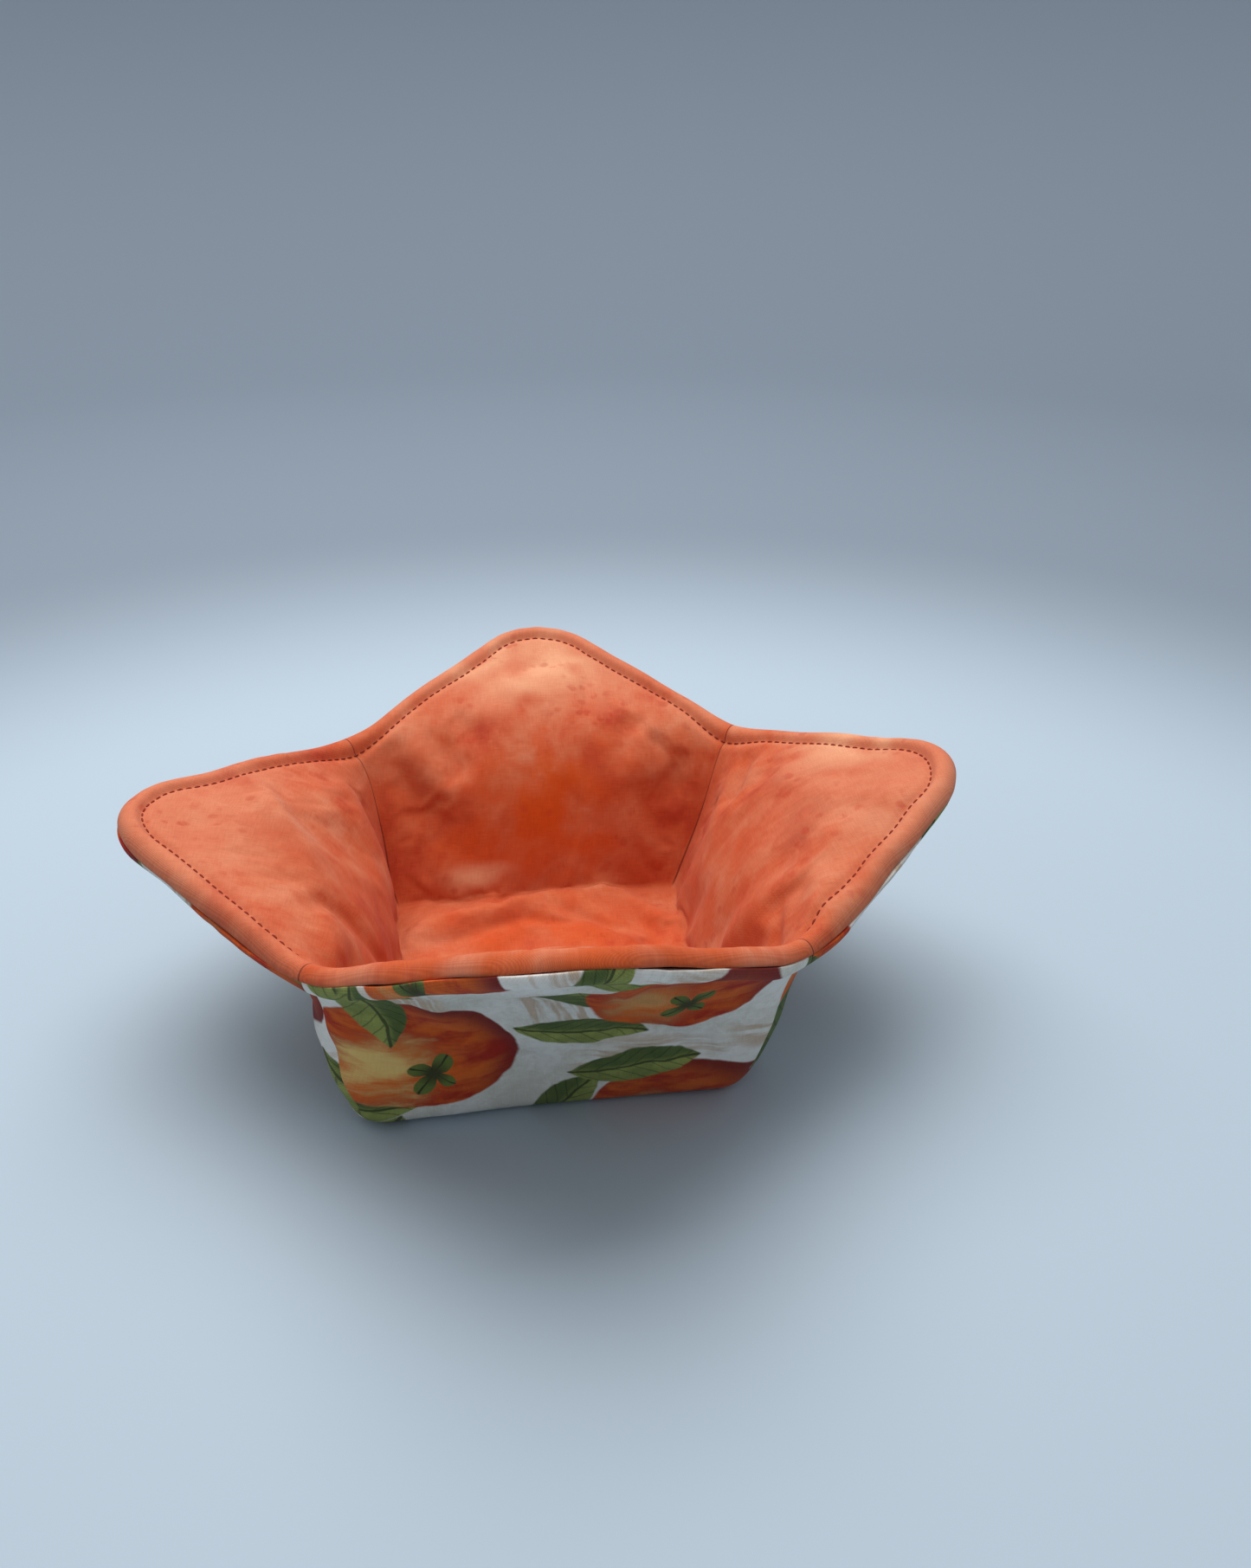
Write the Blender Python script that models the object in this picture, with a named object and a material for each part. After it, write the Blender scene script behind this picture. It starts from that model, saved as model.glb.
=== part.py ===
"""A padded bowl cozy, sewn from two darted squares of cloth and batting.

Each square has a dart in the middle of every side. The ends of the darts are the corners
of the floor, each side of the floor carries one wall, and each corner of the square stands
out over its wall as a flap. The two squares are sewn together round the edge, turned, and
stitched once more near the edge, which leaves a padded border.

X runs to the right, Y to the back and Z up. The origin is the middle of the underside.
"""

import math
from collections import namedtuple

import bmesh
import bpy
from mathutils import Matrix, Vector

INCH = 0.0254

# The cloth pattern: the square and its darts are sizes of the finished work, seam to seam
SQUARE_SIDE = 8.5 * INCH
DART_DEPTH = 1.75 * INCH
DART_HALF_WIDTH = 0.875 * INCH
TIP_RADIUS = 0.023
VALLEY_RADIUS = 0.012
SEAM_ALLOWANCE = 0.006
TOPSTITCH_INSET = 0.25 * INCH

# The layers, and the gap between two that touch
CLOTH_THICKNESS = 0.0005
BATTING_THICKNESS = 0.0025
CLEARANCE = 0.0003

# How the padding rounds off and puffs up between the seams
CREASE_RADIUS = 0.003
COVER_LOFT = 0.0025
LINING_LOFT = 0.001
BEAD_SWELL = 0.0003
BEAD_ROUND = 0.0032
STITCH_PULL = 0.0009
STITCH_PULL_REACH = 0.0045
SEAM_DIP = 0.0005

# How the flaps hang: the slope that each ends at, and the bend that takes it there, which
# is tight beside the dart seams and easy in the middle
FLAP_SLOPES = {
    "right": math.radians(21.0),
    "back": math.radians(14.0),
    "left": math.radians(14.0),
    "front": math.radians(38.0),
}
BEND_AT_SEAM = 0.004
BEND_IN_MIDDLE = 0.044

# How the soft walls lean: the rim sits to the right and back of the floor, and turned
RIM_SWAY_RIGHT = 0.003
RIM_SWAY_BACK = 0.006
RIM_TWIST = math.radians(-3.0)

# Steps of the mesh
VALLEY_STEPS = 1
EDGE_STEPS = 3
TIP_STEPS = 4
CORNER_STEPS = 3
WALL_STEPS = 6
FLOOR_EDGE_STEPS = 2
BEAD_ANGLES = (90.0, 58.0, 28.0)

# Places on the pattern's middle layer, from the fold at the floor's side
ROOT_2 = math.sqrt(2.0)
FLOOR_HALF = (SQUARE_SIDE / 2 - DART_DEPTH) / ROOT_2
VALLEY_HALF = (SQUARE_SIDE / 2 - DART_HALF_WIDTH) / ROOT_2
VALLEY_REACH = (SQUARE_SIDE / 2 + DART_HALF_WIDTH) / ROOT_2 - FLOOR_HALF
CORNER_REACH = SQUARE_SIDE / ROOT_2 - FLOOR_HALF

# The lean of a wall: the darts let it open by SPREAD for each unit of its length
SPREAD = (VALLEY_HALF - FLOOR_HALF) / VALLEY_REACH
RISE = math.sqrt(1.0 - SPREAD ** 2)
WALL_SLOPE = math.atan2(RISE, SPREAD)

# Half of the padded wall, and the core line that every fold is rounded about
HALF_WALL = CLEARANCE / 2 + BATTING_THICKNESS + CLEARANCE + CLOTH_THICKNESS
CORE_DEPTH = CREASE_RADIUS + HALF_WALL
ROOT_REACH = CORE_DEPTH * (1.0 - SPREAD) / RISE
VALLEY_HEIGHT = HALF_WALL + VALLEY_REACH * RISE

# The notch between two flaps, and the stretch of edge that its rounding takes
NOTCH_HALF_ANGLE = math.pi / 4 + math.atan(SPREAD)
NOTCH_STRETCH = VALLEY_RADIUS / math.tan(NOTCH_HALF_ANGLE)
SEAM_REACH = (CORNER_REACH - FLOOR_HALF + CORE_DEPTH * RISE) / (1.0 + SPREAD)

PRINTED_CREAM = (0.62, 0.52, 0.36)
MOTTLED_ORANGE = (0.75, 0.21, 0.06)
WADDING_WHITE = (0.85, 0.83, 0.78)

DOWN = Vector((0.0, 0.0, -1.0))
MERGE_DISTANCE = 1e-6

Column = namedtuple("Column", "side across rim_reach root_width lean edge_factor")
SeamColumn = namedtuple("SeamColumn", "first second share rim_reach edge_factor")
Station = namedtuple("Station", "zone place offset loft")


def core_width(reach):
    """Half of the width between two dart seams, on the core line."""
    return FLOOR_HALF + reach * SPREAD - CORE_DEPTH * RISE


def wall_curve(reach, across, slope_at_end):
    """Distance out, height and slope of a wall's middle layer at a reach up the wall."""
    bend_length = BEND_AT_SEAM + (BEND_IN_MIDDLE - BEND_AT_SEAM) * (1.0 - across ** 2)
    start = VALLEY_REACH - bend_length / 2
    straight = min(reach, start)
    out = FLOOR_HALF + straight * SPREAD
    height = HALF_WALL + straight * RISE
    if reach <= start:
        return out, height, WALL_SLOPE
    bent = min(reach - start, bend_length)
    slope = WALL_SLOPE + (slope_at_end - WALL_SLOPE) * bent / bend_length
    radius = bend_length / (WALL_SLOPE - slope_at_end)
    out += radius * (math.sin(WALL_SLOPE) - math.sin(slope))
    height += radius * (math.cos(slope) - math.cos(WALL_SLOPE))
    rest = reach - start - bent
    out += rest * math.cos(slope)
    height += rest * math.sin(slope)
    return out, height, slope


def turn_to_side(side, out, along, height):
    """A point of the right-hand wall, turned to one of the four sides."""
    if side == "right":
        return Vector((out, along, height))
    if side == "back":
        return Vector((-along, out, height))
    if side == "left":
        return Vector((-out, -along, height))
    return Vector((along, -out, height))


def wall_core(column, reach):
    """Point on the core line of a wall column, and the direction that points outward."""
    out, height, slope = wall_curve(reach, column.across, FLAP_SLOPES[column.side])
    width = column.root_width + column.lean * (reach - ROOT_REACH)
    normal = turn_to_side(column.side, math.sin(slope), 0.0, -math.cos(slope))
    middle = turn_to_side(column.side, out, width, height)
    return middle - normal * CORE_DEPTH, normal


def column_core(column, reach):
    """As wall_core, also for the columns that lie between two walls, at a dart seam."""
    if isinstance(column, Column):
        return wall_core(column, reach)
    point_a, normal_a = wall_core(column.first, reach)
    point_b, normal_b = wall_core(column.second, reach)
    return point_a.lerp(point_b, column.share), normal_a.slerp(normal_b, column.share)


def notch_lift(along):
    """How far the rounded notch raises the edge, at a distance along it from the dart seam."""
    inside = max(0.0, NOTCH_STRETCH - along)
    return VALLEY_RADIUS - math.sqrt(VALLEY_RADIUS ** 2 - inside ** 2)


def notched(reach, lean, along, edge_factor):
    """The rim's reach of a column and its edge factor, with the notch rounded."""
    share = min(1.0, along / NOTCH_STRETCH)
    at_seam = 1.0 / math.sqrt(1.0 + lean ** 2)
    factor = at_seam + (edge_factor - at_seam) * share
    return reach + notch_lift(along) * factor, factor


def straight_edge_points():
    """Reach, width and outward direction along one straight edge, from seam to tip."""
    tangent_width = TIP_RADIUS / ROOT_2
    seam_width = core_width(SEAM_REACH)
    notch_width = min(seam_width, VALLEY_HALF - NOTCH_STRETCH / ROOT_2)
    widths = [seam_width + (notch_width - seam_width) * step / VALLEY_STEPS
              for step in range(VALLEY_STEPS)]
    widths += [notch_width + (tangent_width - notch_width) * step / EDGE_STEPS
               for step in range(EDGE_STEPS)]
    return [(CORNER_REACH - width, width, math.pi / 4) for width in widths]


def tip_points():
    """Reach, width and outward direction round half of a flap's tip."""
    centre = CORNER_REACH - TIP_RADIUS * ROOT_2
    steps = TIP_STEPS // 2
    angles = [math.pi / 4 * (1.0 - step / steps) for step in range(steps + 1)]
    return [(centre + TIP_RADIUS * math.cos(angle), TIP_RADIUS * math.sin(angle), angle)
            for angle in angles]


def rim_columns(side):
    """The columns of one wall, from dart seam to dart seam, by their points on the rim."""
    columns = []
    for reach, width, angle in straight_edge_points() + tip_points():
        across = width / core_width(SEAM_REACH)
        root_width = core_width(ROOT_REACH) * across
        lean = (width - root_width) / (reach - ROOT_REACH)
        edge_factor = 1.0 / (math.cos(angle) + math.sin(angle) * lean)
        along = (reach - VALLEY_REACH) * ROOT_2
        reach, edge_factor = notched(reach, lean, along, edge_factor)
        columns.append(Column(side, across, reach, root_width, lean, edge_factor))
    mirrored = [column._replace(across=-column.across, root_width=-column.root_width,
                                lean=-column.lean) for column in columns[:-1]]
    return mirrored + columns[::-1]


def seam_columns(first, second):
    """The columns of the rounded fold at a dart seam, between two walls."""
    columns = []
    straight_factor = ROOT_2 / (1.0 + SPREAD)
    for step in range(1, CORNER_STEPS):
        share = step / CORNER_STEPS
        beside = abs(1.0 - 2.0 * share) * (SEAM_REACH - VALLEY_REACH)
        reach, factor = notched(VALLEY_REACH + beside, SPREAD, beside * ROOT_2, straight_factor)
        columns.append(SeamColumn(first, second, share, reach, factor))
    return columns


def all_columns():
    """Every column once round the cozy."""
    walls = [rim_columns(side) for side in FLAP_SLOPES]
    columns = []
    for wall, following in zip(walls, walls[1:] + walls[:1]):
        columns += wall + seam_columns(wall[-1], following[0])
    return columns


def puff(column, share):
    """Share of the loft at a share of the way up, none at the floor, dart seams and border."""
    if isinstance(column, SeamColumn):
        return 0.0
    return math.sin(math.pi * share) * (1.0 - column.across ** 2)


def place(column, station, facing):
    """Where a station of the section lies on one column, outward or inward of the middle."""
    depth = CORE_DEPTH + station.offset * facing
    if station.zone == "floor":
        core, normal = column_core(column, ROOT_REACH)
        return core + DOWN.slerp(normal, station.place) * depth
    reach = column.rim_reach - column.edge_factor * station.place
    if station.zone == "wall":
        border = TOPSTITCH_INSET + STITCH_PULL_REACH
        top = column.rim_reach - column.edge_factor * border
        reach = ROOT_REACH + (top - ROOT_REACH) * station.place
        depth += station.loft * facing * puff(column, station.place)
    core, normal = column_core(column, reach)
    return core + normal * depth


def slump(point):
    """The lean of the soft walls, none at the floor and whole from the dart seams' tops up."""
    share = math.sin(min(1.0, point.z / VALLEY_HEIGHT) * math.pi / 2)
    turned = Matrix.Rotation(RIM_TWIST * share, 3, "Z") @ point
    return turned + Vector((RIM_SWAY_RIGHT, RIM_SWAY_BACK, 0.0)) * share


def body_stations(offset, loft):
    """Stations over the floor's fold and up the wall, at one offset from the middle layer."""
    stations = [Station("floor", step / FLOOR_EDGE_STEPS, offset, 0.0)
                for step in range(FLOOR_EDGE_STEPS)]
    stations += [Station("wall", step / WALL_STEPS, offset, loft)
                 for step in range(WALL_STEPS + 1)]
    return stations


def edge_station(inset, offset):
    """A station of the border, at a distance in from the edge."""
    return Station("edge", inset, offset, 0.0)


def skin(depth, loft):
    """Stations of a surface that lies at a depth under the face, from floor to edge seam."""
    face = HALF_WALL - depth
    swollen = face + BEAD_SWELL
    stations = body_stations(face, loft)
    stations.append(edge_station(TOPSTITCH_INSET, face - STITCH_PULL))
    stations.append(edge_station((TOPSTITCH_INSET + BEAD_ROUND) / 2, face + BEAD_SWELL / 2))
    for angle in BEAD_ANGLES:
        turn = math.radians(angle)
        inset = BEAD_ROUND - (BEAD_ROUND - depth) * math.cos(turn)
        stations.append(edge_station(inset, swollen * math.sin(turn)))
    return stations


def cloth_section(loft):
    """Closed section of the cloth: its face, its turned-in seam allowance and its back."""
    near = CLEARANCE / 2
    far = near + CLOTH_THICKNESS
    turned = [
        edge_station(SEAM_DIP, near),
        edge_station(SEAM_ALLOWANCE, near),
        edge_station(SEAM_ALLOWANCE, far),
        edge_station(SEAM_DIP + 2 * CLOTH_THICKNESS, far),
    ]
    return skin(0.0, loft) + turned + skin(CLOTH_THICKNESS, loft)[::-1]


def batting_section(loft):
    """Closed section of one batting layer, which ends in the fold of the cloth's edge."""
    near = CLEARANCE / 2
    beside_allowance = near + CLOTH_THICKNESS + CLEARANCE
    below_allowance = SEAM_ALLOWANCE + CLEARANCE
    back = [
        edge_station(SEAM_DIP + 2 * CLOTH_THICKNESS + CLEARANCE, beside_allowance),
        edge_station(below_allowance, beside_allowance),
        edge_station(below_allowance + CLOTH_THICKNESS + CLEARANCE, near),
    ]
    return skin(CLOTH_THICKNESS + CLEARANCE, loft) + back + body_stations(near, 0.0)[::-1]


def loft_layer(name, section, facing, colour, roughness):
    """Loft a section round all columns, close it over the floor and give it a material."""
    columns = all_columns()
    shell = bmesh.new()
    rings = []
    for station in section:
        places = [slump(place(column, station, facing)) for column in columns]
        rings.append([shell.verts.new(point) for point in places])
    count = len(columns)
    for lower, upper in zip(rings, rings[1:]):
        for index in range(count):
            after = (index + 1) % count
            shell.faces.new((lower[index], lower[after], upper[after], upper[index]))
    shell.faces.new(rings[0])
    shell.faces.new(rings[-1])
    bmesh.ops.remove_doubles(shell, verts=shell.verts, dist=MERGE_DISTANCE)
    bmesh.ops.recalc_face_normals(shell, faces=shell.faces)
    bmesh.ops.triangulate(shell, faces=shell.faces)
    mesh = bpy.data.meshes.new(name)
    shell.to_mesh(mesh)
    shell.free()
    mesh.shade_smooth()
    mesh.materials.append(fabric(name, colour, roughness))
    layer = bpy.data.objects.new(name, mesh)
    bpy.context.scene.collection.objects.link(layer)
    return layer


def fabric(name, colour, roughness):
    """A plain matt fabric."""
    material = bpy.data.materials.new(name)
    material.use_nodes = True
    shader = material.node_tree.nodes["Principled BSDF"]
    shader.inputs["Base Color"].default_value = (*colour, 1.0)
    shader.inputs["Roughness"].default_value = roughness
    shader.inputs["Metallic"].default_value = 0.0
    return material


def main():
    for thing in list(bpy.data.objects):
        bpy.data.objects.remove(thing)
    loft_layer("outer_cover", cloth_section(COVER_LOFT), 1, PRINTED_CREAM, 0.9)
    loft_layer("outer_batting", batting_section(COVER_LOFT), 1, WADDING_WHITE, 1.0)
    loft_layer("lining_batting", batting_section(LINING_LOFT), -1, WADDING_WHITE, 1.0)
    loft_layer("lining", cloth_section(LINING_LOFT), -1, MOTTLED_ORANGE, 0.85)


main()
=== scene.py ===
# %% [markdown]
# ## A padded bowl cozy
# The real thing is a soft square cradle for a hot bowl: printed cotton outside, mottled orange
# cotton inside, and a layer of wadding under each. The CAD part holds its sizes. This scene
# dresses it in two pieces of cloth that are sewn together round the edge, and in the thread
# that holds them.

import math

import bmesh
import bpy
import numpy as np
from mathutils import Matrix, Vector
from mathutils.bvhtree import BVHTree


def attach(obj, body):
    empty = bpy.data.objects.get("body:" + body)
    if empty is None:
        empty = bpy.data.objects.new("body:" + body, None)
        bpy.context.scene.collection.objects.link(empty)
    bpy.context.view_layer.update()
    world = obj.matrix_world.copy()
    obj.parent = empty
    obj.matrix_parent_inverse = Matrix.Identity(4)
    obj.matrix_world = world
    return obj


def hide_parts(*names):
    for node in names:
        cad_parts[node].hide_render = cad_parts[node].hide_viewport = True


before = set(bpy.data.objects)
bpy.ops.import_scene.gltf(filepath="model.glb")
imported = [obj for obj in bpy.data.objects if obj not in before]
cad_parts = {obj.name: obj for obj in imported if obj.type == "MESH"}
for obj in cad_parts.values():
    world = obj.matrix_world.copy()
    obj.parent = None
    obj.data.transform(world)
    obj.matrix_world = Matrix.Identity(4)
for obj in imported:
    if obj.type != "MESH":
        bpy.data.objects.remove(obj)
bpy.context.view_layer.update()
print("nodes", sorted(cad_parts))


def placed(name, data):
    """A new object in the scene, with its data."""
    thing = bpy.data.objects.new(name, data)
    bpy.context.scene.collection.objects.link(thing)
    return thing


# %% [markdown]
# ## The cloth pattern
# Each cloth is a square with a dart in the middle of every side. Where a dart is sewn shut the
# cloth rises into a wall, and the corner beyond it becomes a flap. All shapes below come from
# these few sizes, which the CAD part is made from too, so both fit each other. Only the fold at
# a dart seam is tighter here, and the notch between two flaps wider, as on the real one. The
# cloth could be pulled into shape by eye, but then no size would lead to the next.

# %% Sizes of the pattern, in metres
INCH = 0.0254
ROOT_2 = math.sqrt(2.0)
SQUARE_SIDE = 8.5 * INCH
DART_DEPTH = 1.75 * INCH
DART_HALF_WIDTH = 0.875 * INCH
TOPSTITCH_INSET = 0.25 * INCH
SEAM_ALLOWANCE = 0.006
TIP_RADIUS = 0.023
VALLEY_RADIUS = 0.016
FLOOR_HALF = (SQUARE_SIDE / 2 - DART_DEPTH) / ROOT_2
VALLEY_HALF = (SQUARE_SIDE / 2 - DART_HALF_WIDTH) / ROOT_2
VALLEY_REACH = (SQUARE_SIDE / 2 + DART_HALF_WIDTH) / ROOT_2 - FLOOR_HALF
CORNER_REACH = SQUARE_SIDE / ROOT_2 - FLOOR_HALF
SPREAD = (VALLEY_HALF - FLOOR_HALF) / VALLEY_REACH
RISE = math.sqrt(1.0 - SPREAD ** 2)
WALL_SLOPE = math.atan2(RISE, SPREAD)
HALF_WALL = 0.00345
FOLD_RADIUS = 0.002
CORE_DEPTH = FOLD_RADIUS + HALF_WALL
ROOT_REACH = CORE_DEPTH * (1.0 - SPREAD) / RISE
VALLEY_HEIGHT = HALF_WALL + VALLEY_REACH * RISE
SEAM_REACH = (CORNER_REACH - FLOOR_HALF + CORE_DEPTH * RISE) / (1.0 + SPREAD)
print("floor", round(2000 * FLOOR_HALF, 1), "mm, walls lean", round(math.degrees(WALL_SLOPE), 1))

# %% How the cloth hangs: the sides in turn are right, back, left and front
FLAP_SLOPES = np.radians([21.0, 14.0, 14.0, 38.0])
BEND_AT_SEAM = 0.004
BEND_IN_MIDDLE = 0.044
RIM_SWAY = np.array([0.003, 0.006, 0.0])
RIM_TWIST = math.radians(-3.0)
RIGHT, BACK, LEFT, FRONT = range(4)
print("flaps slope", np.degrees(FLAP_SLOPES).round(), "degrees")

# %% [markdown]
# ## Columns up the walls
# The cloth is laid out as columns that run from the floor up to the rim, with a few narrow ones
# in the rounded fold at each dart seam. A column knows where it starts, how it leans and where
# it meets the edge. The edge has a rounded tip on each flap and a rounded notch between flaps.
# A flat square bent by a simulation alone would need no columns, but each change of a size would
# let it fall another way, and it wouldn't match the CAD part.

# %% How wide a wall is, and where its edge lies
PER_WALL = 56
PER_SEAM = 4
SEAM_GAP = 0.006
EDGE_BOW = 0.0012
EDGE_BOW_LENGTH = 0.05


def core_width(reach):
    """Half of the width between two dart seams, on the line that folds are rounded about."""
    return FLOOR_HALF + reach * SPREAD - CORE_DEPTH * RISE


def rim_reach(width, along):
    """How far out the edge lies at a width from the middle of a flap."""
    tip_centre = CORNER_REACH - TIP_RADIUS * ROOT_2
    rounded = np.abs(width) < TIP_RADIUS / ROOT_2
    arc = tip_centre + np.sqrt(np.maximum(TIP_RADIUS ** 2 - width ** 2, 0.0))
    straight = CORNER_REACH - np.abs(width)
    bow = EDGE_BOW * np.sin(np.clip(along / EDGE_BOW_LENGTH, 0.0, 1.0) * math.pi)
    return np.where(rounded, arc, straight + bow)


def notch_lift(along):
    """How far the rounded notch raises the edge, at a distance along it from the dart seam."""
    half_angle = math.pi / 4 + math.atan(SPREAD)
    stretch = VALLEY_RADIUS / math.tan(half_angle)
    inside = np.maximum(0.0, stretch - along)
    lift = VALLEY_RADIUS - np.sqrt(VALLEY_RADIUS ** 2 - inside ** 2)
    return lift, np.minimum(1.0, along / stretch)


print("walls", round(2000 * float(core_width(SEAM_REACH)), 1), "mm wide where they meet the rim")

# %% Set out the columns


def wall_columns(side):
    """Columns of one wall: side, width at the root, lean, reach of the edge, edge factor."""
    across = np.linspace(-1.0, 1.0, PER_WALL + 1)
    width = across * core_width(SEAM_REACH)
    root = across * core_width(ROOT_REACH)
    along = (CORNER_REACH - np.abs(width) - VALLEY_REACH) * ROOT_2
    reach = rim_reach(width, along)
    lean = (width - root) / (reach - ROOT_REACH)
    angle = np.where(np.abs(width) < TIP_RADIUS / ROOT_2, np.arcsin(
        np.clip(np.abs(width) / TIP_RADIUS, 0.0, 1.0)), math.pi / 4)
    factor = 1.0 / (np.cos(angle) + np.sin(angle) * np.abs(lean))
    lift, share = notch_lift(along)
    at_seam = 1.0 / np.sqrt(1.0 + lean ** 2)
    factor = at_seam + (factor - at_seam) * share
    return np.stack([np.full_like(across, side), across, root, lean, reach + lift * factor, factor], 1)


walls = [wall_columns(side) for side in range(4)]
first, second, shares = [], [], []
for side in range(4):
    here, after = walls[side], walls[(side + 1) % 4]
    first += list(here)
    second += list(here)
    shares += [0.0] * len(here)
    for step in range(1, PER_SEAM):
        share = step / PER_SEAM
        beside = abs(1.0 - 2.0 * share) * (SEAM_REACH - VALLEY_REACH)
        lift, notch = notch_lift(np.array(beside * ROOT_2))
        at_seam = 1.0 / math.sqrt(1.0 + SPREAD ** 2)
        factor = at_seam + (ROOT_2 / (1.0 + SPREAD) - at_seam) * float(notch)
        reach = VALLEY_REACH + beside + float(lift) * factor
        first.append([*here[-1][:4], reach, factor])
        second.append([*after[0][:4], reach, factor])
        shares.append(share)
first, second, shares = np.array(first), np.array(second), np.array(shares)
COLUMNS = len(shares)
print(COLUMNS, "columns round the cozy")

# %% [markdown]
# ## From the flat pattern to the standing cloth
# A wall runs straight up from the floor's fold, and bends over into its flap. The bend is tight
# beside the dart seams, which hold the cloth, and easy in the middle. Then the whole rim sways
# a little to one side, as soft walls do.

# %% Stand a wall up


def turned(side, out, along, height):
    """Points of the right-hand wall, turned to their side."""
    x = np.choose(side, [out, -along, -out, along])
    y = np.choose(side, [along, out, -along, -out])
    return np.stack([x, y, height + 0.0 * x], -1)


def wall_core(data, reach):
    """Points on the core line of wall columns, and the directions that point outward."""
    side, across, root, lean = data[:, 0].astype(int), data[:, 1], data[:, 2], data[:, 3]
    slope_end = FLAP_SLOPES[side]
    bend = BEND_AT_SEAM + (BEND_IN_MIDDLE - BEND_AT_SEAM) * (1.0 - across ** 2)
    start = VALLEY_REACH - bend / 2
    straight = np.minimum(reach, start)
    bent = np.clip(reach - start, 0.0, bend)
    rest = np.maximum(reach - start - bend, 0.0)
    slope = WALL_SLOPE + (slope_end - WALL_SLOPE) * bent / bend
    radius = bend / (WALL_SLOPE - slope_end)
    out = FLOOR_HALF + straight * SPREAD + rest * np.cos(slope)
    out += radius * (math.sin(WALL_SLOPE) - np.sin(slope))
    height = HALF_WALL + straight * RISE + rest * np.sin(slope)
    height += radius * (np.cos(slope) - math.cos(WALL_SLOPE))
    normal = turned(side, np.sin(slope), np.zeros_like(slope), -np.cos(slope))
    middle = turned(side, out, root + lean * (reach - ROOT_REACH), height)
    return middle - normal * CORE_DEPTH, normal


print("walls bend over about", round(1000 * VALLEY_REACH), "mm up")

# %% All columns at once, and their sway


def slerp(a, b, share):
    """Directions between two sets of directions."""
    angle = np.arccos(np.clip((a * b).sum(-1), -1.0, 1.0))
    small = angle < 1e-5
    below = np.where(small, 1.0, np.sin(np.where(small, 1.0, angle)))
    weight_a = np.where(small, 1.0 - share, np.sin((1.0 - share) * angle) / below)
    weight_b = np.where(small, share, np.sin(share * angle) / below)
    return a * weight_a[:, None] + b * weight_b[:, None]


def column_core(reach):
    """Core points and outward directions of all columns at a reach each."""
    point_a, normal_a = wall_core(first, reach)
    point_b, normal_b = wall_core(second, reach)
    point = point_a + (point_b - point_a) * shares[:, None]
    return point, slerp(normal_a, normal_b, shares)


def slump(points):
    """The sway of the soft walls, none at the floor and whole from the dart seams' tops up."""
    share = np.sin(np.clip(points[..., 2] / VALLEY_HEIGHT, 0.0, 1.0) * math.pi / 2)
    angle = RIM_TWIST * share
    x = points[..., 0] * np.cos(angle) - points[..., 1] * np.sin(angle)
    y = points[..., 0] * np.sin(angle) + points[..., 1] * np.cos(angle)
    return np.stack([x, y, points[..., 2]], -1) + RIM_SWAY * share[..., None]


print("the rim sways by", round(1000 * float(np.linalg.norm(RIM_SWAY)), 1), "mm")

# %% [markdown]
# ## Rounded notches
# The pattern alone would leave a kink where two flaps meet, but the padded edge is too stiff to
# kink. It runs through the notch in a smooth curve. Averaging each column with its neighbours
# does the same, more so towards the rim, and only near the dart seams.

# %% Places round the rim, and the averaging
EASE_WIDTH = 0.0075
EASE_SPAN = 0.024
edge_points, _ = column_core(first[:, 4] - first[:, 5] * TOPSTITCH_INSET)
edge_steps = np.linalg.norm(np.roll(edge_points, -1, 0) - edge_points, axis=1)
RIM_PLACE = np.concatenate([[0.0], np.cumsum(edge_steps)[:-1]])
RIM_LENGTH = edge_steps.sum()
print("topstitching", round(1000 * RIM_LENGTH), "mm long")


def rim_distance(place):
    """Distance along the rim from all columns to some places on it, the short way round."""
    away = np.abs(RIM_PLACE[:, None] - np.atleast_1d(place)[None, :])
    return np.minimum(away, RIM_LENGTH - away)


seam_distance = rim_distance(RIM_PLACE[shares == 0.5]).min(1)
near_seam = np.exp(-(seam_distance / EASE_SPAN) ** 4)
spacing = (edge_steps + np.roll(edge_steps, 1)) / 2
averaging = np.exp(-0.5 * (rim_distance(RIM_PLACE) / EASE_WIDTH) ** 2) * spacing[None, :]
averaging /= averaging.sum(1, keepdims=True)


def smooth_step(value, low, high):
    """0 below low, 1 above high, and smooth between."""
    share = np.clip((value - low) / (high - low), 0.0, 1.0)
    return share * share * (3.0 - 2.0 * share)


def eased(points, up):
    """A row of points with its notches rounded, the more so the higher up it is."""
    strength = near_seam * smooth_step(up, 0.25, 1.0)
    return points + (averaging @ points - points) * strength[:, None]


# %% [markdown]
# ## Folds
# Cloth over wadding never lies flat. Soft folds run down from the flaps to the corners of the
# floor, dimples sit beside the dart seams, and the floor is bunched. Each is written as a line
# in space, in millimetres, with a breadth and a push. Sculpted like this they lie where they do
# on the real one, which a simulation alone would leave to chance.

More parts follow.
